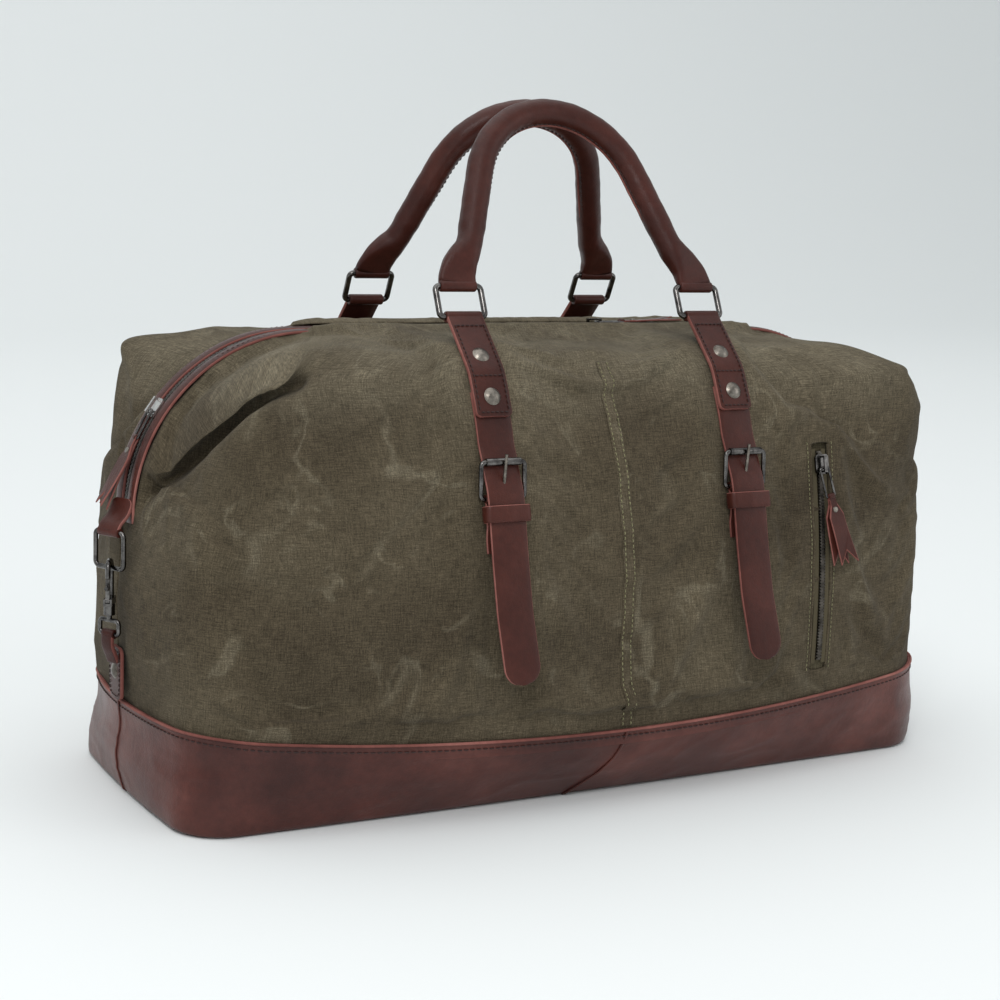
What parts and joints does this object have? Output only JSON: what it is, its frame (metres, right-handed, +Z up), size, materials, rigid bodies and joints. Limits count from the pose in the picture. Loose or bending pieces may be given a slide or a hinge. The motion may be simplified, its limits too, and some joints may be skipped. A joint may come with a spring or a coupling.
{
  "type": "duffel bag",
  "caption": "Canvas weekender duffel bag with a leather base, twin rolled leather handles on rings, buckled straps, zip top and clip-down ends.",
  "frame": {"origin": "middle of the flat underside that the bag rests on", "axes": "+X along the bag to its right-hand end as seen from the front, -Y to the buckled front, +Z up"},
  "size_m": [0.5956, 0.3048, 0.437],
  "materials": {
    "canvas": "washed cotton canvas",
    "lining": "plain cotton lining",
    "board": "stiff board",
    "leather": "smooth oiled leather",
    "leather_edge": "raw cut edge",
    "handle_cord": "twisted cotton filler cord",
    "zip_tape": "woven tape",
    "zip_teeth": "dark metal teeth",
    "zip_metal": "polished nickel",
    "gunmetal": "polished gunmetal plate",
    "antique_silver": "antique silver"
  },
  "bodies": {
    "bag": {"canvas_front_left": "canvas", "canvas_front_right": "canvas", "canvas_back_left": "canvas", "canvas_back_right": "canvas", "leather_base": "leather", "base_piping": "leather_edge", "base_board": "board", "lining": "lining", "zip_tapes": "zip_tape", "zip_teeth": "zip_teeth", "zip_facing_front": "leather", "zip_facing_back": "leather", "pocket_zip_tapes": "zip_tape", "pocket_zip_teeth": "zip_teeth", "handle_tab_front_left": "leather", "handle_tab_front_right": "leather", "handle_tab_back_left": "leather", "handle_tab_back_right": "leather", "buckle_strap_left": "leather", "buckle_strap_right": "leather", "buckle_chape_left": "leather", "buckle_chape_right": "leather", "strap_keeper_left": "leather", "strap_keeper_right": "leather", "zip_end_tab_left": "leather", "zip_end_tab_right": "leather", "end_patch_left": "leather", "end_patch_right": "leather", "rivets": "antique_silver"},
    "ring_front_left": {"handle_ring_front_left": "gunmetal"},
    "ring_front_right": {"handle_ring_front_right": "gunmetal"},
    "handle_front": {"handle_cover_front": "leather", "handle_core_front": "handle_cord"},
    "ring_back_left": {"handle_ring_back_left": "gunmetal"},
    "ring_back_right": {"handle_ring_back_right": "gunmetal"},
    "handle_back": {"handle_cover_back": "leather", "handle_core_back": "handle_cord"},
    "top_slider": {"top_slider": "zip_metal"},
    "top_puller": {"top_puller": "zip_metal"},
    "top_pull": {"top_pull_leather": "leather"},
    "end_slider": {"end_slider": "zip_metal"},
    "end_puller": {"end_puller": "zip_metal"},
    "end_pull": {"end_pull_leather": "leather"},
    "pocket_slider": {"pocket_slider": "zip_metal"},
    "pocket_puller": {"pocket_puller": "zip_metal"},
    "pocket_pull": {"pocket_pull_leather": "leather"},
    "buckle_left": {"buckle_frame_left": "gunmetal"},
    "roller_left": {"buckle_roller_left": "gunmetal"},
    "prong_left": {"buckle_prong_left": "gunmetal"},
    "buckle_right": {"buckle_frame_right": "gunmetal"},
    "roller_right": {"buckle_roller_right": "gunmetal"},
    "prong_right": {"buckle_prong_right": "gunmetal"},
    "end_ring_left": {"end_ring_left": "gunmetal"},
    "swivel_left": {"hook_swivel_left": "gunmetal"},
    "hook_left": {"snap_hook_left": "gunmetal"},
    "gate_left": {"hook_gate_left": "gunmetal"},
    "end_ring_right": {"end_ring_right": "gunmetal"},
    "swivel_right": {"hook_swivel_right": "gunmetal"},
    "hook_right": {"snap_hook_right": "gunmetal"},
    "gate_right": {"hook_gate_right": "gunmetal"}
  },
  "joints": [
    {"name": "ring_front_left_swing", "type": "hinge", "parent": "bag", "child": "ring_front_left", "pos_m": [-0.088, -0.0713, 0.30072], "axis": [1, 0, 0], "range_deg": [0, 60]},
    {"name": "ring_front_right_swing", "type": "hinge", "parent": "bag", "child": "ring_front_right", "pos_m": [0.088, -0.0713, 0.30072], "axis": [1, 0, 0], "range_deg": [0, 60]},
    {"name": "handle_front_swing", "type": "hinge", "parent": "ring_front_left", "child": "handle_front", "pos_m": [-0.088, -0.0627, 0.319], "axis": [1, 0, 0], "range_deg": [0, 95]},
    {"name": "ring_back_left_swing", "type": "hinge", "parent": "bag", "child": "ring_back_left", "pos_m": [-0.088, 0.0713, 0.30072], "axis": [-1, 0, 0], "range_deg": [0, 60]},
    {"name": "ring_back_right_swing", "type": "hinge", "parent": "bag", "child": "ring_back_right", "pos_m": [0.088, 0.0713, 0.30072], "axis": [-1, 0, 0], "range_deg": [0, 60]},
    {"name": "handle_back_swing", "type": "hinge", "parent": "ring_back_left", "child": "handle_back", "pos_m": [-0.088, 0.0627, 0.319], "axis": [-1, 0, 0], "range_deg": [0, 95]},
    {"name": "top_slider_travel", "type": "slide", "parent": "bag", "child": "top_slider", "axis": [1, 0, 0], "range_m": [-0.15, 0.1]},
    {"name": "top_puller_swing", "type": "hinge", "parent": "top_slider", "child": "top_puller", "pos_m": [0.0526, 0, 0.2909], "axis": [0, -1, 0], "range_deg": [0, 120]},
    {"name": "top_pull_fold", "type": "hinge", "parent": "top_puller", "child": "top_pull", "pos_m": [0.072, 0, 0.2909], "axis": [0, -1, 0], "range_deg": [0, 60]},
    {"name": "end_slider_travel", "type": "hinge", "parent": "bag", "child": "end_slider", "pos_m": [-0.166, 0, 0.175], "axis": [0, 1, 0], "range_deg": [0, 50]},
    {"name": "end_puller_swing", "type": "hinge", "parent": "end_slider", "child": "end_puller", "pos_m": [-0.26243, 0, 0.23935], "axis": [0, 1, 0], "range_deg": [0, 120]},
    {"name": "end_pull_fold", "type": "hinge", "parent": "end_puller", "child": "end_pull", "pos_m": [-0.27154, 0, 0.22222], "axis": [0, 1, 0], "range_deg": [0, 60]},
    {"name": "pocket_slider_travel", "type": "hinge", "parent": "bag", "child": "pocket_slider", "pos_m": [0.156, 0.43323, 0.09], "axis": [1, 0, 0], "range_deg": [0, 12.55]},
    {"name": "pocket_puller_swing", "type": "hinge", "parent": "pocket_slider", "child": "pocket_puller", "pos_m": [0.156, -0.1242, 0.20526], "axis": [-0.9781, -0.043, -0.2034], "range_deg": [0, 120]},
    {"name": "pocket_pull_fold", "type": "hinge", "parent": "pocket_puller", "child": "pocket_pull", "pos_m": [0.16003, -0.12813, 0.1867], "axis": [-0.9781, -0.043, -0.2034], "range_deg": [0, 60]},
    {"name": "buckle_left_lift", "type": "hinge", "parent": "bag", "child": "buckle_left", "pos_m": [-0.088, -0.12995, 0.19756], "axis": [1, 0, 0], "range_deg": [0, 25]},
    {"name": "roller_left_spin", "type": "hinge", "parent": "buckle_left", "child": "roller_left", "pos_m": [-0.088, -0.12871, 0.21946], "axis": [1, 0, 0], "continuous": true},
    {"name": "prong_left_lift", "type": "hinge", "parent": "buckle_left", "child": "prong_left", "pos_m": [-0.088, -0.12995, 0.19756], "axis": [1, 0, 0], "range_deg": [0, 50]},
    {"name": "buckle_right_lift", "type": "hinge", "parent": "bag", "child": "buckle_right", "pos_m": [0.088, -0.12995, 0.19756], "axis": [1, 0, 0], "range_deg": [0, 25]},
    {"name": "roller_right_spin", "type": "hinge", "parent": "buckle_right", "child": "roller_right", "pos_m": [0.088, -0.12871, 0.21946], "axis": [1, 0, 0], "continuous": true},
    {"name": "prong_right_lift", "type": "hinge", "parent": "buckle_right", "child": "prong_right", "pos_m": [0.088, -0.12995, 0.19756], "axis": [1, 0, 0], "range_deg": [0, 50]},
    {"name": "end_ring_left_swing", "type": "hinge", "parent": "bag", "child": "end_ring_left", "pos_m": [-0.291, -0.011, 0.1675], "axis": [0.4384, -0.8988, 0], "range_deg": [-2, 2]},
    {"name": "swivel_left_lean", "type": "hinge", "parent": "bag", "child": "swivel_left", "pos_m": [-0.291, -0.011, 0.1045], "axis": [-0.4384, 0.8988, 0], "range_deg": [-1, 1]},
    {"name": "hook_left_turn", "type": "hinge", "parent": "swivel_left", "child": "hook_left", "pos_m": [-0.291, -0.011, 0.126], "axis": [0, 0, -1], "range_deg": [0, 65]},
    {"name": "gate_left_open", "type": "hinge", "parent": "hook_left", "child": "gate_left", "pos_m": [-0.29357, -0.01563, 0.126], "axis": [-0.8746, 0.4848, 0], "range_deg": [0, 22], "stiffness_Nm_per_rad": 0.02, "springref_deg": -11.46},
    {"name": "end_ring_right_swing", "type": "hinge", "parent": "bag", "child": "end_ring_right", "pos_m": [0.291, -0.011, 0.1675], "axis": [0.4384, 0.8988, 0], "range_deg": [-2, 2]},
    {"name": "swivel_right_lean", "type": "hinge", "parent": "bag", "child": "swivel_right", "pos_m": [0.291, -0.011, 0.1045], "axis": [-0.4384, -0.8988, 0], "range_deg": [-1, 1]},
    {"name": "hook_right_turn", "type": "hinge", "parent": "swivel_right", "child": "hook_right", "pos_m": [0.291, -0.011, 0.126], "axis": [0, 0, 1], "range_deg": [0, 65]},
    {"name": "gate_right_open", "type": "hinge", "parent": "hook_right", "child": "gate_right", "pos_m": [0.29357, -0.01563, 0.126], "axis": [-0.8746, -0.4848, 0], "range_deg": [0, 22], "stiffness_Nm_per_rad": 0.02, "springref_deg": -11.46}
  ],
  "couplings": [
    {"joint": "ring_front_right_swing", "follows": "ring_front_left_swing", "ratio": 1},
    {"joint": "ring_back_right_swing", "follows": "ring_back_left_swing", "ratio": 1}
  ]
}
